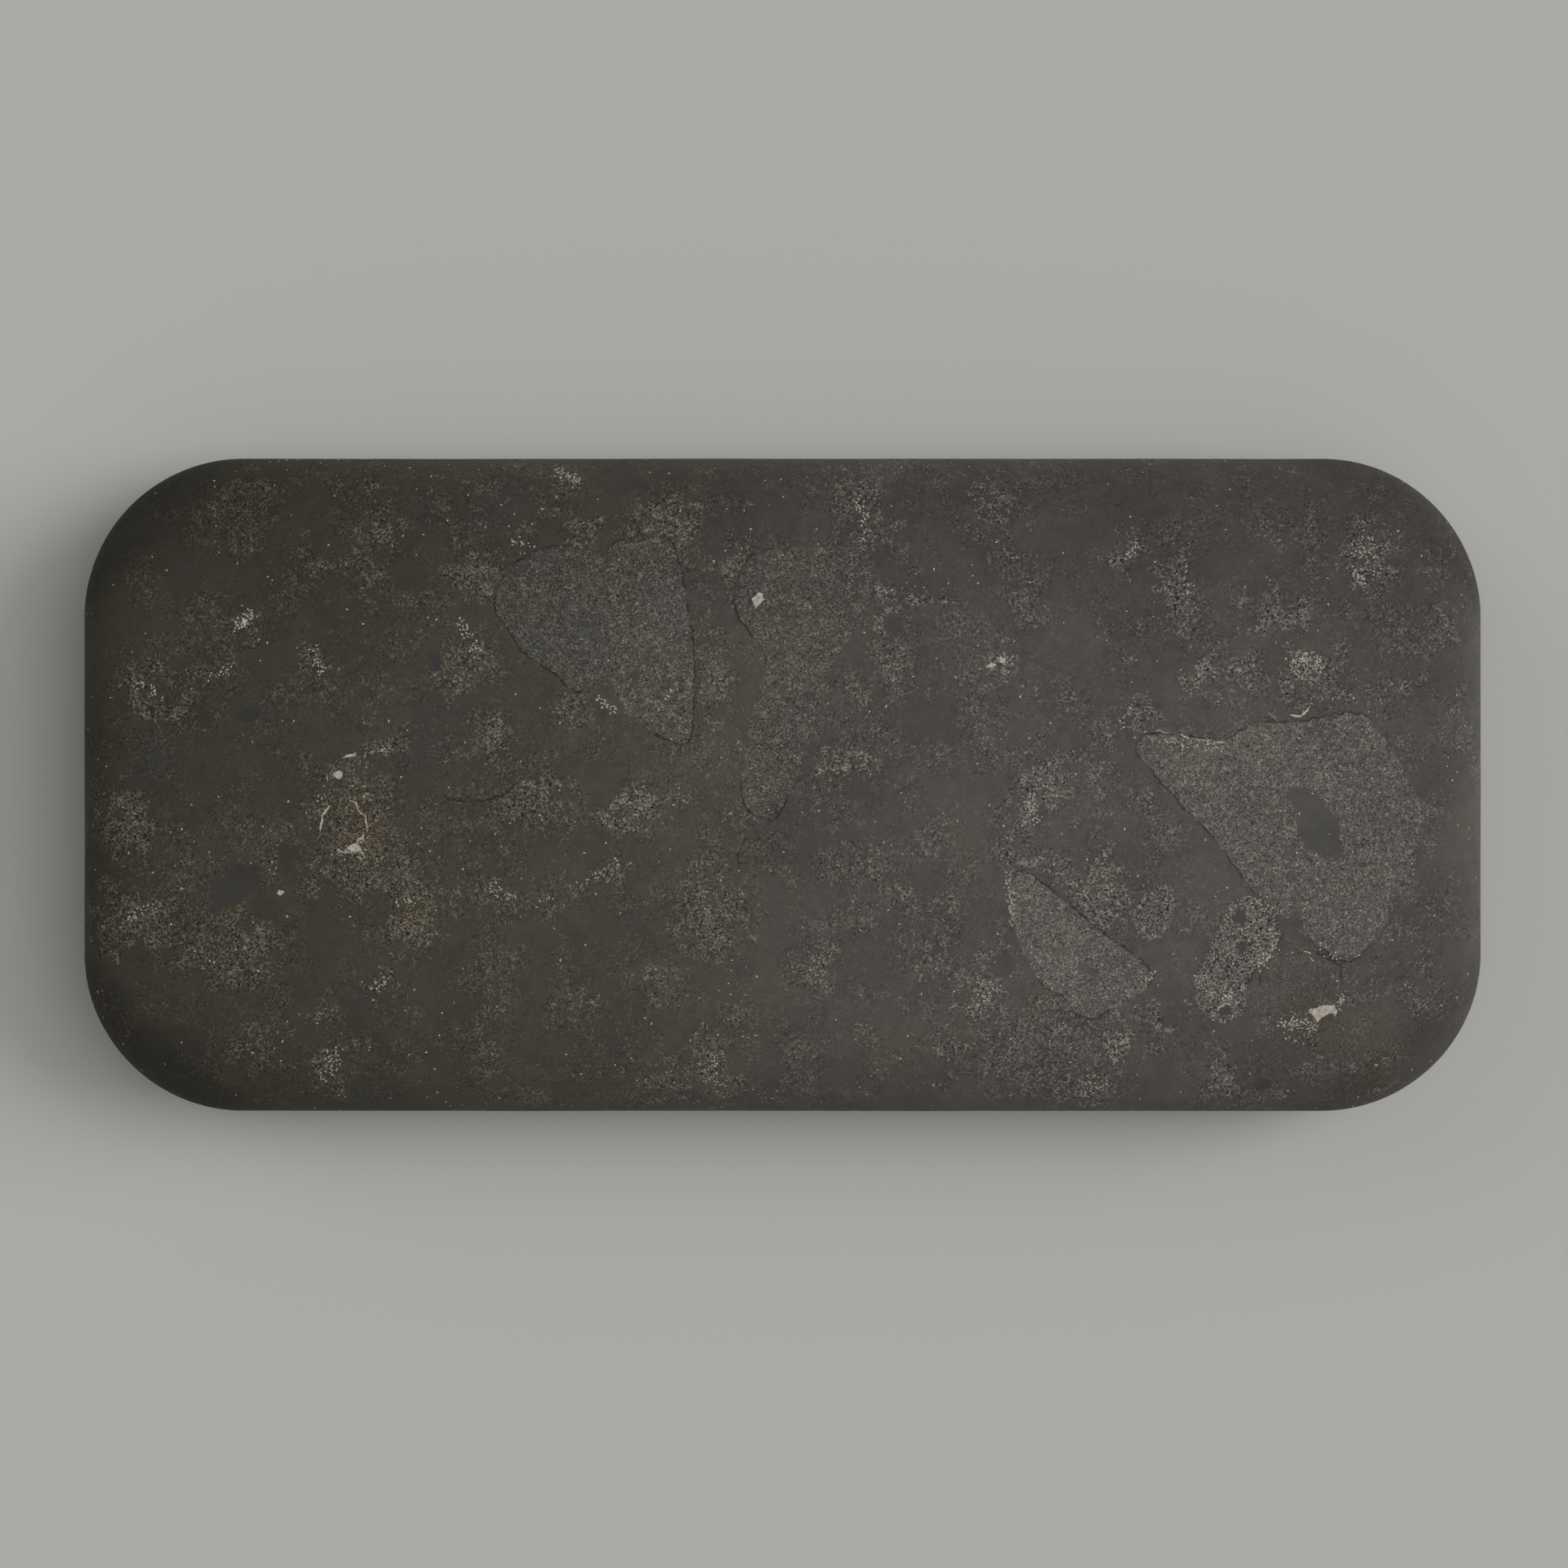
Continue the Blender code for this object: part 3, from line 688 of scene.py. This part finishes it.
def paint_basalt(material):
    tree = material.node_tree
    shader = tree.nodes["Principled BSDF"]

    def field(name):
        return node(tree, "ShaderNodeAttribute", attribute_name=name).outputs["Fac"]

    place = place_in_mm(tree)
    along, across, _ = node(tree, "ShaderNodeSeparateXYZ", {0: place}).outputs

    # ragged edges of the fragments, spots and patches
    ragged = noise(tree, place, 0.42, 7, 0.68)
    crumbly = noise(tree, place, 1.5, 4, 0.62, shift=31)
    fragment_edge = plus(tree, field("fragment_edge"), times(tree, crumbly, 0.5))
    in_fragment = step(tree, fragment_edge, -0.15, 0.15)
    no_fragment = minus(tree, 1.0, in_fragment)
    spot_edge = plus(tree, field("spot_edge"), times(tree, ragged, 1.1), times(tree, crumbly, 0.4))
    in_spot = step(tree, spot_edge, -0.08, 0.16)
    no_spot = minus(tree, 1.0, in_spot)
    patch_edge = plus(tree, field("patch_edge"), times(tree, ragged, 7.5), times(tree, crumbly, 2.0))
    in_patch = times(tree, step(tree, patch_edge, -2.3, 1.7), field("patch_grain"))
    stray = times(tree, step(tree, noise(tree, place, 0.17, 8, 0.72, shift=57), -0.25, 0.4), 0.7)
    patch = times(tree, calc(tree, "MAXIMUM", in_patch, stray), no_fragment, no_spot)
    inside = times(tree, in_fragment, field("fragment_grain"), no_spot)

    # grains: coarser in the patches, finer and more even in the fragments
    coarse = new_grain(tree, place, {"Density": patch} | COARSE_GRAIN)
    fine = new_grain(tree, place, {"Density": inside} | FINE_GRAIN)
    grain = times(tree, coarse["Grain"], fine["Grain"])

    # tone of the matrix: clouds and mottling; lighter towards the right end, partly the rock's own tone
    # and partly a painted sheen, and darker towards the long edges, a painted shade
    clouds = times(tree, noise(tree, place, 0.055, 4, 0.55, shift=12), 0.25)
    blotch = noise(tree, place, 0.16, 5, 0.55, shift=88)
    blotches = times(tree, step(tree, blotch, -0.05, 0.1), 0.10)
    mottle = noise(tree, place, 0.7, 5, 0.6, shift=77)
    off_middle = absolute(tree, plus(tree, across, 3))
    # painted light: a painted sheen brightens the right end, and painted shade darkens the long edges
    # away from the middle line
    drift_and_painted_light = times(tree, step(tree, along, -95, 40, 0.46, 1.09), step(tree, off_middle, 14, 40, 1.0, 0.70))
    tone = times(tree, drift_and_painted_light, plus(tree, 1.0, clouds, blotches, times(tree, mottle, 0.26)), MATRIX_TONE)
    tone = times(tree, tone, blended(tree, in_fragment, 1.0, field("fragment_tone")))
    tone = times(tree, tone, blended(tree, in_spot, 1.0, SPOT_TONE), grain)
    on_edge = step(tree, absolute(tree, plus(tree, fragment_edge, 0.05)), 0.16, 0.03)
    broken = step(tree, noise(tree, place, 0.5, 3, 0.5, shift=5), -0.3, 0.1)
    line = times(tree, field("crack"), on_edge, broken)
    # the corner field darkens the tone here as painted shade
    tone = times(tree, tone, blended(tree, line, 1.0, CRACK_TONE),
                 blended(tree, field("corner"), 1.0, PAINTED_CORNER_SHADE_TONE))

    # hue: brown on the left, greyer on the right, with rusty and slate-grey stains
    hue = plus(tree, times(tree, noise(tree, place, 0.09, 3, 0.5, shift=140), 0.9),
               times(tree, field("stain"), 0.6), times(tree, in_fragment, field("fragment_hue")),
               times(tree, blotch, 0.6))
    tint = tinted(tree, step(tree, along, -60, 30), LEFT_TINT, RIGHT_TINT)
    tint = tinted(tree, step(tree, hue, 0.1, 1.0), tint, RUST_TINT)
    cool = plus(tree, hue, times(tree, in_spot, -0.5))
    tint = tinted(tree, step(tree, cool, -0.1, -1.0), tint, SLATE_TINT)
    tree.links.new(scaled(tree, tint, tone), shader.inputs["Base Color"])

    # honed finish: glassy in the spots, matt in the grainy rock
    rough = plus(tree, 0.74, times(tree, patch, 0.10), times(tree, inside, 0.08),
                 times(tree, in_spot, -0.24), times(tree, mottle, 0.04))
    tree.links.new(rough, shader.inputs["Roughness"])
    height = plus(tree, coarse["Height"], times(tree, fine["Height"], 0.8), times(tree, line, -1.6),
                  times(tree, mottle, 0.4), times(tree, noise(tree, place, 6.0, 2), 0.06))
    bump = node(tree, "ShaderNodeBump", {"Height": height, "Strength": 0.4, "Distance": 0.02 * MM})
    tree.links.new(bump.outputs[0], shader.inputs["Normal"])
    shader.inputs["Specular IOR Level"].default_value = 0.12
    shader.inputs["Diffuse Roughness"].default_value = 0.8


paint_basalt(basalt)


# --- Mineral fillings --------------------------------------------------------------------------
# A few gas bubbles and cracks are filled with a cream mineral, flush with the worn face.

# Each filling: its place in the plan of the face, and its outline around that place.
FILLINGS = [
    ((58.2, -24.6), [
        (-1.3, 0.2), (-1.1, 0.45), (-0.45, 0.4), (-0.15, 0.7), (0.5, 0.8), (1.2, 0.75), (1.6, 0.85),
        (1.65, 0.45), (1.9, 0.15), (1.8, -0.2), (1.6, -0.6), (1.45, -0.15), (1.05, -0.15), (0.5, -0.45),
        (0.0, -0.75), (-0.3, -1.05), (-0.6, -0.7), (-0.85, -0.3), (-1.15, -0.15)]),
    ((-2.8, 20.0), [
        (0.2, 0.85), (0.65, 0.7), (0.7, 0.3), (0.9, 0.05), (0.65, -0.15), (0.15, -0.65), (-0.05, -1.0),
        (-0.25, -0.65), (-0.45, -0.15), (-0.65, 0.2), (-0.25, 0.35), (0.0, 0.65)]),
    ((23.1, 13.6), [
        (0.4, 0.65), (0.5, 0.2), (1.1, 0.0), (0.95, -0.45), (0.5, -0.5), (0.3, -0.2)]),
    ((22.5, 12.95), [
        (-0.5, 0.0), (-0.05, 0.2), (0.4, 0.25), (0.7, 0.0), (0.15, -0.3), (-0.3, -0.3)]),
    ((-48.2, 1.2), [
        (-0.5, -0.15), (-0.25, 0.25), (0.25, 0.35), (0.65, 0.2), (0.6, -0.3), (0.3, -0.65),
        (-0.15, -0.45)]),
    ((-46.4, -6.8), [
        (-0.9, -0.05), (-0.2, 0.45), (0.4, 0.45), (0.9, -0.05), (0.65, -0.4), (0.15, -0.5),
        (-0.45, -0.3)]),
    ((-54.4, -11.5), [
        (-0.4, -0.3), (-0.05, 0.15), (0.5, 0.05), (0.45, -0.25), (0.05, -0.5)]),
    ((-58.4, 17.7), [
        (-0.05, 0.4), (0.25, 0.4), (0.4, -0.15), (0.25, -0.75), (0.05, -0.45), (-0.15, 0.0)]),
    ((56.2, 8.1), [
        (-1.55, -0.4), (-0.9, -0.65), (-0.3, -0.6), (0.15, -0.2), (0.65, 0.2), (0.85, 0.4),
        (0.65, -0.15), (0.15, -0.65), (-0.2, -0.85), (-0.75, -0.85)]),
    ((48.3, -23.8), [
        (-0.35, -0.05), (-0.2, 0.2), (0.1, 0.2), (0.25, -0.1), (0.15, -0.25), (0.0, 0.05), (-0.2, 0.05)]),
    ((47.6, -23.9), [
        (-0.6, -0.4), (-0.45, -0.1), (0.0, 0.2), (0.35, 0.3), (0.3, 0.1), (-0.2, -0.15), (-0.45, -0.45)]),
]
# Thin veins of the same mineral: half width and line.
VEINS = [
    # the network around the round fragment on the left
    (0.14, [(-49.0, -2.2), (-49.4, -2.9), (-49.8, -3.3), (-49.8, -3.9), (-50.0, -4.6), (-50.0, -5.0)]),
    (0.10, [(-46.9, -1.7), (-46.1, -1.9), (-46.0, -2.6), (-45.6, -3.1), (-45.1, -3.3), (-45.1, -3.9),
            (-44.9, -4.8)]),
    (0.15, [(-46.1, -6.3), (-45.8, -5.9), (-45.4, -5.7), (-45.3, -5.3)]),
    (0.10, [(-46.4, -6.8), (-47.3, -6.95)]), (0.08, [(-45.9, -6.9), (-45.5, -7.4), (-45.1, -7.9)]),
    (0.09, [(-46.9, -7.2), (-47.4, -7.3), (-47.9, -7.2)]),
    (0.12, [(-47.6, 2.9), (-47.1, 3.2), (-46.6, 3.3), (-46.0, 3.1)]),
    (0.07, [(-44.0, 3.5), (-43.4, 3.7), (-42.6, 3.6)]), (0.07, [(-49.3, 1.2), (-49.2, 0.3)]),
    (0.07, [(-49.6, -0.9), (-49.4, -1.6)]), (0.14, [(-45.1, 1.9), (-44.9, 1.9)]),
    (0.14, [(-48.0, -9.2), (-47.7, -9.5)]), (0.08, [(-48.8, 1.0), (-48.2, 1.2)]),
    # the bean, the wedge and the edges of the largest fragment
    (0.14, [(52.2, -19.1), (52.5, -18.8), (52.8, -18.5)]),
    (0.08, [(51.0, -16.8), (51.5, -16.9), (51.9, -16.8)]), (0.07, [(50.2, -20.5), (50.9, -20.0)]),
    (0.12, [(54.4, -16.5), (54.8, -16.9)]), (0.10, [(48.2, -22.6), (48.5, -22.9)]),
    (0.10, [(56.4, -18.0), (57.0, -18.15), (57.2, -18.3)]),
    (0.06, [(57.0, -18.6), (57.3, -19.0), (57.6, -19.1)]),
    (0.06, [(45.8, -22.6), (46.4, -22.8), (46.6, -23.2)]),
    (0.16, [(47.6, -22.6), (48.0, -22.9), (48.2, -23.1)]), (0.10, [(53.8, -25.6), (54.2, -25.9)]),
    (0.15, [(54.9, -26.4), (55.3, -26.6)]), (0.09, [(55.6, -26.4), (56.2, -26.3)]),
    (0.10, [(56.6, -26.5), (57.2, -26.3)]), (0.06, [(55.0, -26.0), (55.6, -26.1), (56.2, -26.0)]),
    (0.08, [(51.1, -12.5), (51.5, -12.8), (52.0, -13.0)]), (0.08, [(51.4, -12.4), (51.8, -12.6)]),
    (0.13, [(53.2, -17.6), (53.5, -17.7)]), (0.07, [(52.6, -15.4), (52.6, -15.8)]),
    (0.05, [(49.8, -12.3), (50.4, -12.0), (51.0, -12.3)]), (0.13, [(39.0, 5.7), (39.4, 5.8)]),
    (0.09, [(40.3, 5.8), (40.8, 5.9), (41.2, 5.6), (41.8, 5.65)]),
    (0.06, [(44.1, 5.0), (45.5, 4.85), (46.6, 4.85)]),
    (0.12, [(43.0, 5.5), (43.3, 5.3), (43.7, 5.15), (44.1, 5.0)]),
    (0.10, [(46.7, 4.6), (47.4, 4.65), (47.9, 4.5)]),
    # single grains
    (0.13, [(48.3, 12.8), (48.6, 12.6)]), (0.13, [(58.0, 10.5), (58.3, 10.5)]),
    (0.14, [(36.6, 3.4), (36.8, 3.4)]), (0.09, [(56.2, 11.4), (56.2, 11.9)]),
    (0.10, [(47.0, -11.6), (47.2, -11.5)]), (0.16, [(46.5, -26.8), (46.8, -26.6)]),
]
FILLING_DEPTH = 0.5 * MM
FILLING_LIFT = 0.03 * MM
# Width of the worn rim, in millimetres: of a filling, and as a share of a vein's half width.
FILLING_BEVEL = 0.05
VEIN_BEVEL = 0.35
VEIN_END = 0.6
CREAM = (0.37, 0.331, 0.28)
CREAM_GRAIN = {"Per mm": 4.0, "Density": 0.8, "Light": 0.25, "Dark": 0.5, "Bright": 0.0}

face_finder = BVHTree.FromPolygons([vertex.co for vertex in stone_mesh.vertices],
                                   [polygon.vertices for polygon in stone_mesh.polygons])


def vein_outline(half_width, line):
    """The outline of a thin vein along a line, narrow at both ends."""
    line = np.array(line)
    ahead = np.gradient(line, axis=0)
    ahead /= np.linalg.norm(ahead, axis=1)[:, None]
    widths = np.full(len(line), half_width)
    widths[[0, -1]] *= VEIN_END
    side = np.stack([-ahead[:, 1], ahead[:, 0]], axis=1) * widths[:, None]
    return np.concatenate([line + side, (line - side)[::-1]])


filled = [(softened(outline) + place, FILLING_BEVEL) for place, outline in FILLINGS]
filled += [(softened(vein_outline(half_width, line)), half_width * VEIN_BEVEL)
           for half_width, line in VEINS]
chance = np.random.default_rng(11)
shapes = bmesh.new()
for outline, bevel in filled:
    ragged_outline = (outline + chance.normal(0, bevel / 2, outline.shape)) * FACE_SCALE * MM
    ring = []
    for corner_x, corner_y in ragged_outline:
        on_face = face_finder.ray_cast(Vector((corner_x, corner_y, 1)), Vector((0, 0, -1)))[0]
        ring.append(shapes.verts.new(on_face + Vector((0, 0, FILLING_LIFT))))
    cap = shapes.faces.new(ring)
    cap.normal_update()
    if cap.normal.z < 0:
        cap.normal_flip()
    bmesh.ops.inset_region(shapes, faces=[cap], thickness=bevel * MM, use_boundary=True)
    rim = [edge for edge in shapes.edges if edge.is_boundary]
    for vertex in {vertex for edge in rim for vertex in edge.verts}:
        vertex.co.z -= 2 * FILLING_LIFT
    lower = bmesh.ops.extrude_edge_only(shapes, edges=rim)["geom"]
    for vertex in lower:
        if isinstance(vertex, bmesh.types.BMVert):
            vertex.co.z -= FILLING_DEPTH
    lower_rim = [edge for edge in lower if isinstance(edge, bmesh.types.BMEdge)]
    bmesh.ops.contextual_create(shapes, geom=lower_rim)
bmesh.ops.triangulate(shapes, faces=shapes.faces)
bmesh.ops.recalc_face_normals(shapes, faces=shapes.faces)
filling_mesh = bpy.data.meshes.new("mineral_fillings")
shapes.to_mesh(filling_mesh)
shapes.free()
fillings = bpy.data.objects.new("mineral_fillings", filling_mesh)
scene.collection.objects.link(fillings)
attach(fillings, "root")

cream = bpy.data.materials.new("cream_mineral")
cream.use_nodes = True
filling_mesh.materials.append(cream)
cream_shader = cream.node_tree.nodes["Principled BSDF"]
cream_grain = new_grain(cream.node_tree, place_in_mm(cream.node_tree), CREAM_GRAIN)["Grain"]
cream.node_tree.links.new(scaled(cream.node_tree, CREAM, cream_grain), cream_shader.inputs["Base Color"])
cream_shader.inputs["Roughness"].default_value = 0.6
cream_shader.inputs["Specular IOR Level"].default_value = 0.3


# --- Pale crystals -----------------------------------------------------------------------------
# Small feldspar crystals lie level in the face: crowded along the veins and some fragment edges,
# and one by one elsewhere. They are scattered by the "flecks" field.

# Crowded and Lone are crystals per square millimetre, Length and Width are half sizes.
CRYSTALS = {"Crowded": 20.0, "Lone": 0.05, "Length": 0.14 * MM, "Width": 0.08 * MM, "Seed": 4}
CLEAR_OF_FLOOR = 0.4 * MM
FELDSPAR = (0.37, 0.345, 0.29)


def crystal_tree(material):
    """Scatter flattened crystals on the stone, turned at random in the plane of its face."""
    tree = new_geometry_tree("pale crystals", CRYSTALS)
    given = node(tree, "NodeGroupInput").outputs
    position = node(tree, "GeometryNodeInputPosition").outputs[0]
    height = node(tree, "ShaderNodeSeparateXYZ", {0: position}).outputs[2]
    off_floor = calc(tree, "GREATER_THAN", height, CLEAR_OF_FLOOR)
    crowding = calc(tree, "POWER", stored(tree, "flecks"), 2.0)
    crowd = plus(tree, times(tree, crowding, given["Crowded"]), given["Lone"])
    density = times(tree, crowd, off_floor, 1 / MM / MM)
    spread = node(tree, "GeometryNodeDistributePointsOnFaces", {
        "Mesh": given["Geometry"], "Density": density, "Seed": given["Seed"]}, distribute_method="RANDOM")
    crystal = node(tree, "GeometryNodeMeshIcoSphere", {"Radius": 1.0, "Subdivisions": 1}).outputs["Mesh"]

    def any_share(seed, low, high):
        return node(tree, "FunctionNodeRandomValue", {"Min": low, "Max": high, "Seed": seed},
                    data_type="FLOAT").outputs["Value"]

    turned = node(tree, "FunctionNodeRotateRotation", {
        "Rotation": spread.outputs["Rotation"],
        "Rotate By": node(tree, "ShaderNodeCombineXYZ", {2: any_share(1, 0.0, math.tau)}).outputs[0]},
        rotation_space="LOCAL")
    sizes = node(tree, "ShaderNodeCombineXYZ", {
        0: times(tree, given["Length"], any_share(2, 0.5, 1.3)),
        1: times(tree, given["Width"], any_share(3, 0.7, 1.4)),
        2: times(tree, given["Width"], 0.5)}).outputs[0]
    placed = node(tree, "GeometryNodeInstanceOnPoints", {
        "Points": spread.outputs["Points"], "Instance": crystal,
        "Rotation": turned.outputs[0], "Scale": sizes})
    whole = node(tree, "GeometryNodeRealizeInstances", {0: placed.outputs[0]})
    painted = node(tree, "GeometryNodeSetMaterial", {"Geometry": whole.outputs[0], "Material": material})
    node(tree, "NodeGroupOutput", {0: painted.outputs[0]})
    return tree


feldspar = bpy.data.materials.new("pale_feldspar")
feldspar.use_nodes = True
feldspar_shader = feldspar.node_tree.nodes["Principled BSDF"]
feldspar_shader.inputs["Base Color"].default_value = (*FELDSPAR, 1)
feldspar_shader.inputs["Roughness"].default_value = 0.55
crystal_mesh = grown_mesh("pale_crystals", crystal_tree(feldspar), CRYSTALS, stone_mesh)
crystals = bpy.data.objects.new("pale_crystals", crystal_mesh)
scene.collection.objects.link(crystals)
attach(crystals, "root")


# --- Floor, light and camera -------------------------------------------------------------------
# A wide pale floor of matt plaster, with the camera straight above the stone.

FLOOR_HALF = 3.0
FLOOR_CORNERS = [(-1, -1), (1, -1), (1, 1), (-1, 1)]
PLASTER = (0.44, 0.44, 0.42)
floor_mesh = bpy.data.meshes.new("floor")
floor_points = [(x * FLOOR_HALF, y * FLOOR_HALF, 0) for x, y in FLOOR_CORNERS]
floor_mesh.from_pydata(floor_points, [], [(0, 1, 2, 3)])
floor = bpy.data.objects.new("floor", floor_mesh)
scene.collection.objects.link(floor)
plaster = bpy.data.materials.new("pale_floor")
plaster.use_nodes = True
plaster_shader = plaster.node_tree.nodes["Principled BSDF"]
plaster_shader.inputs["Base Color"].default_value = (*PLASTER, 1)
plaster_shader.inputs["Roughness"].default_value = 0.9
floor_mesh.materials.append(plaster)

# A bright room: an even dim surround, and wide soft lights by height and azimuth in degrees, with
# their strengths. The brightest are on the right, so the shadow falls to the left.
SURROUND = 0.22
LIGHT_SPREAD = math.radians(34)
ROOM_LIGHTS = [
    (90, 0, 0.10), (62, 15, 0.24), (62, 315, 0.05), (38, 10, 0.44), (38, 145, 0.09),
]
world = bpy.data.worlds.new("room")
world.use_nodes = True
world.node_tree.nodes["Background"].inputs["Color"].default_value = (SURROUND, SURROUND, SURROUND, 1)
scene.world = world
for number, (height, azimuth, strength) in enumerate(ROOM_LIGHTS):
    data = bpy.data.lights.new(f"room_light_{number}", "SUN")
    data.energy = strength * math.pi
    data.angle = LIGHT_SPREAD
    lamp = bpy.data.objects.new(data.name, data)
    lamp.rotation_euler = (0, math.radians(90 - height), math.radians(azimuth))
    scene.collection.objects.link(lamp)

# The camera frames this width at the height of the stone's widest outline.
FRAMED = 169.4 * MM
LENS = 100.0
SENSOR = 36.0
OFF_CENTRE = (0.15 * MM, 0.09 * MM)
camera_data = bpy.data.cameras.new("camera")
camera_data.lens = LENS
camera_data.sensor_width = SENSOR
camera = bpy.data.objects.new("camera", camera_data)
camera.location = (*OFF_CENTRE, STONE_MIDDLE + FRAMED * LENS / SENSOR)
scene.collection.objects.link(camera)
scene.camera = camera
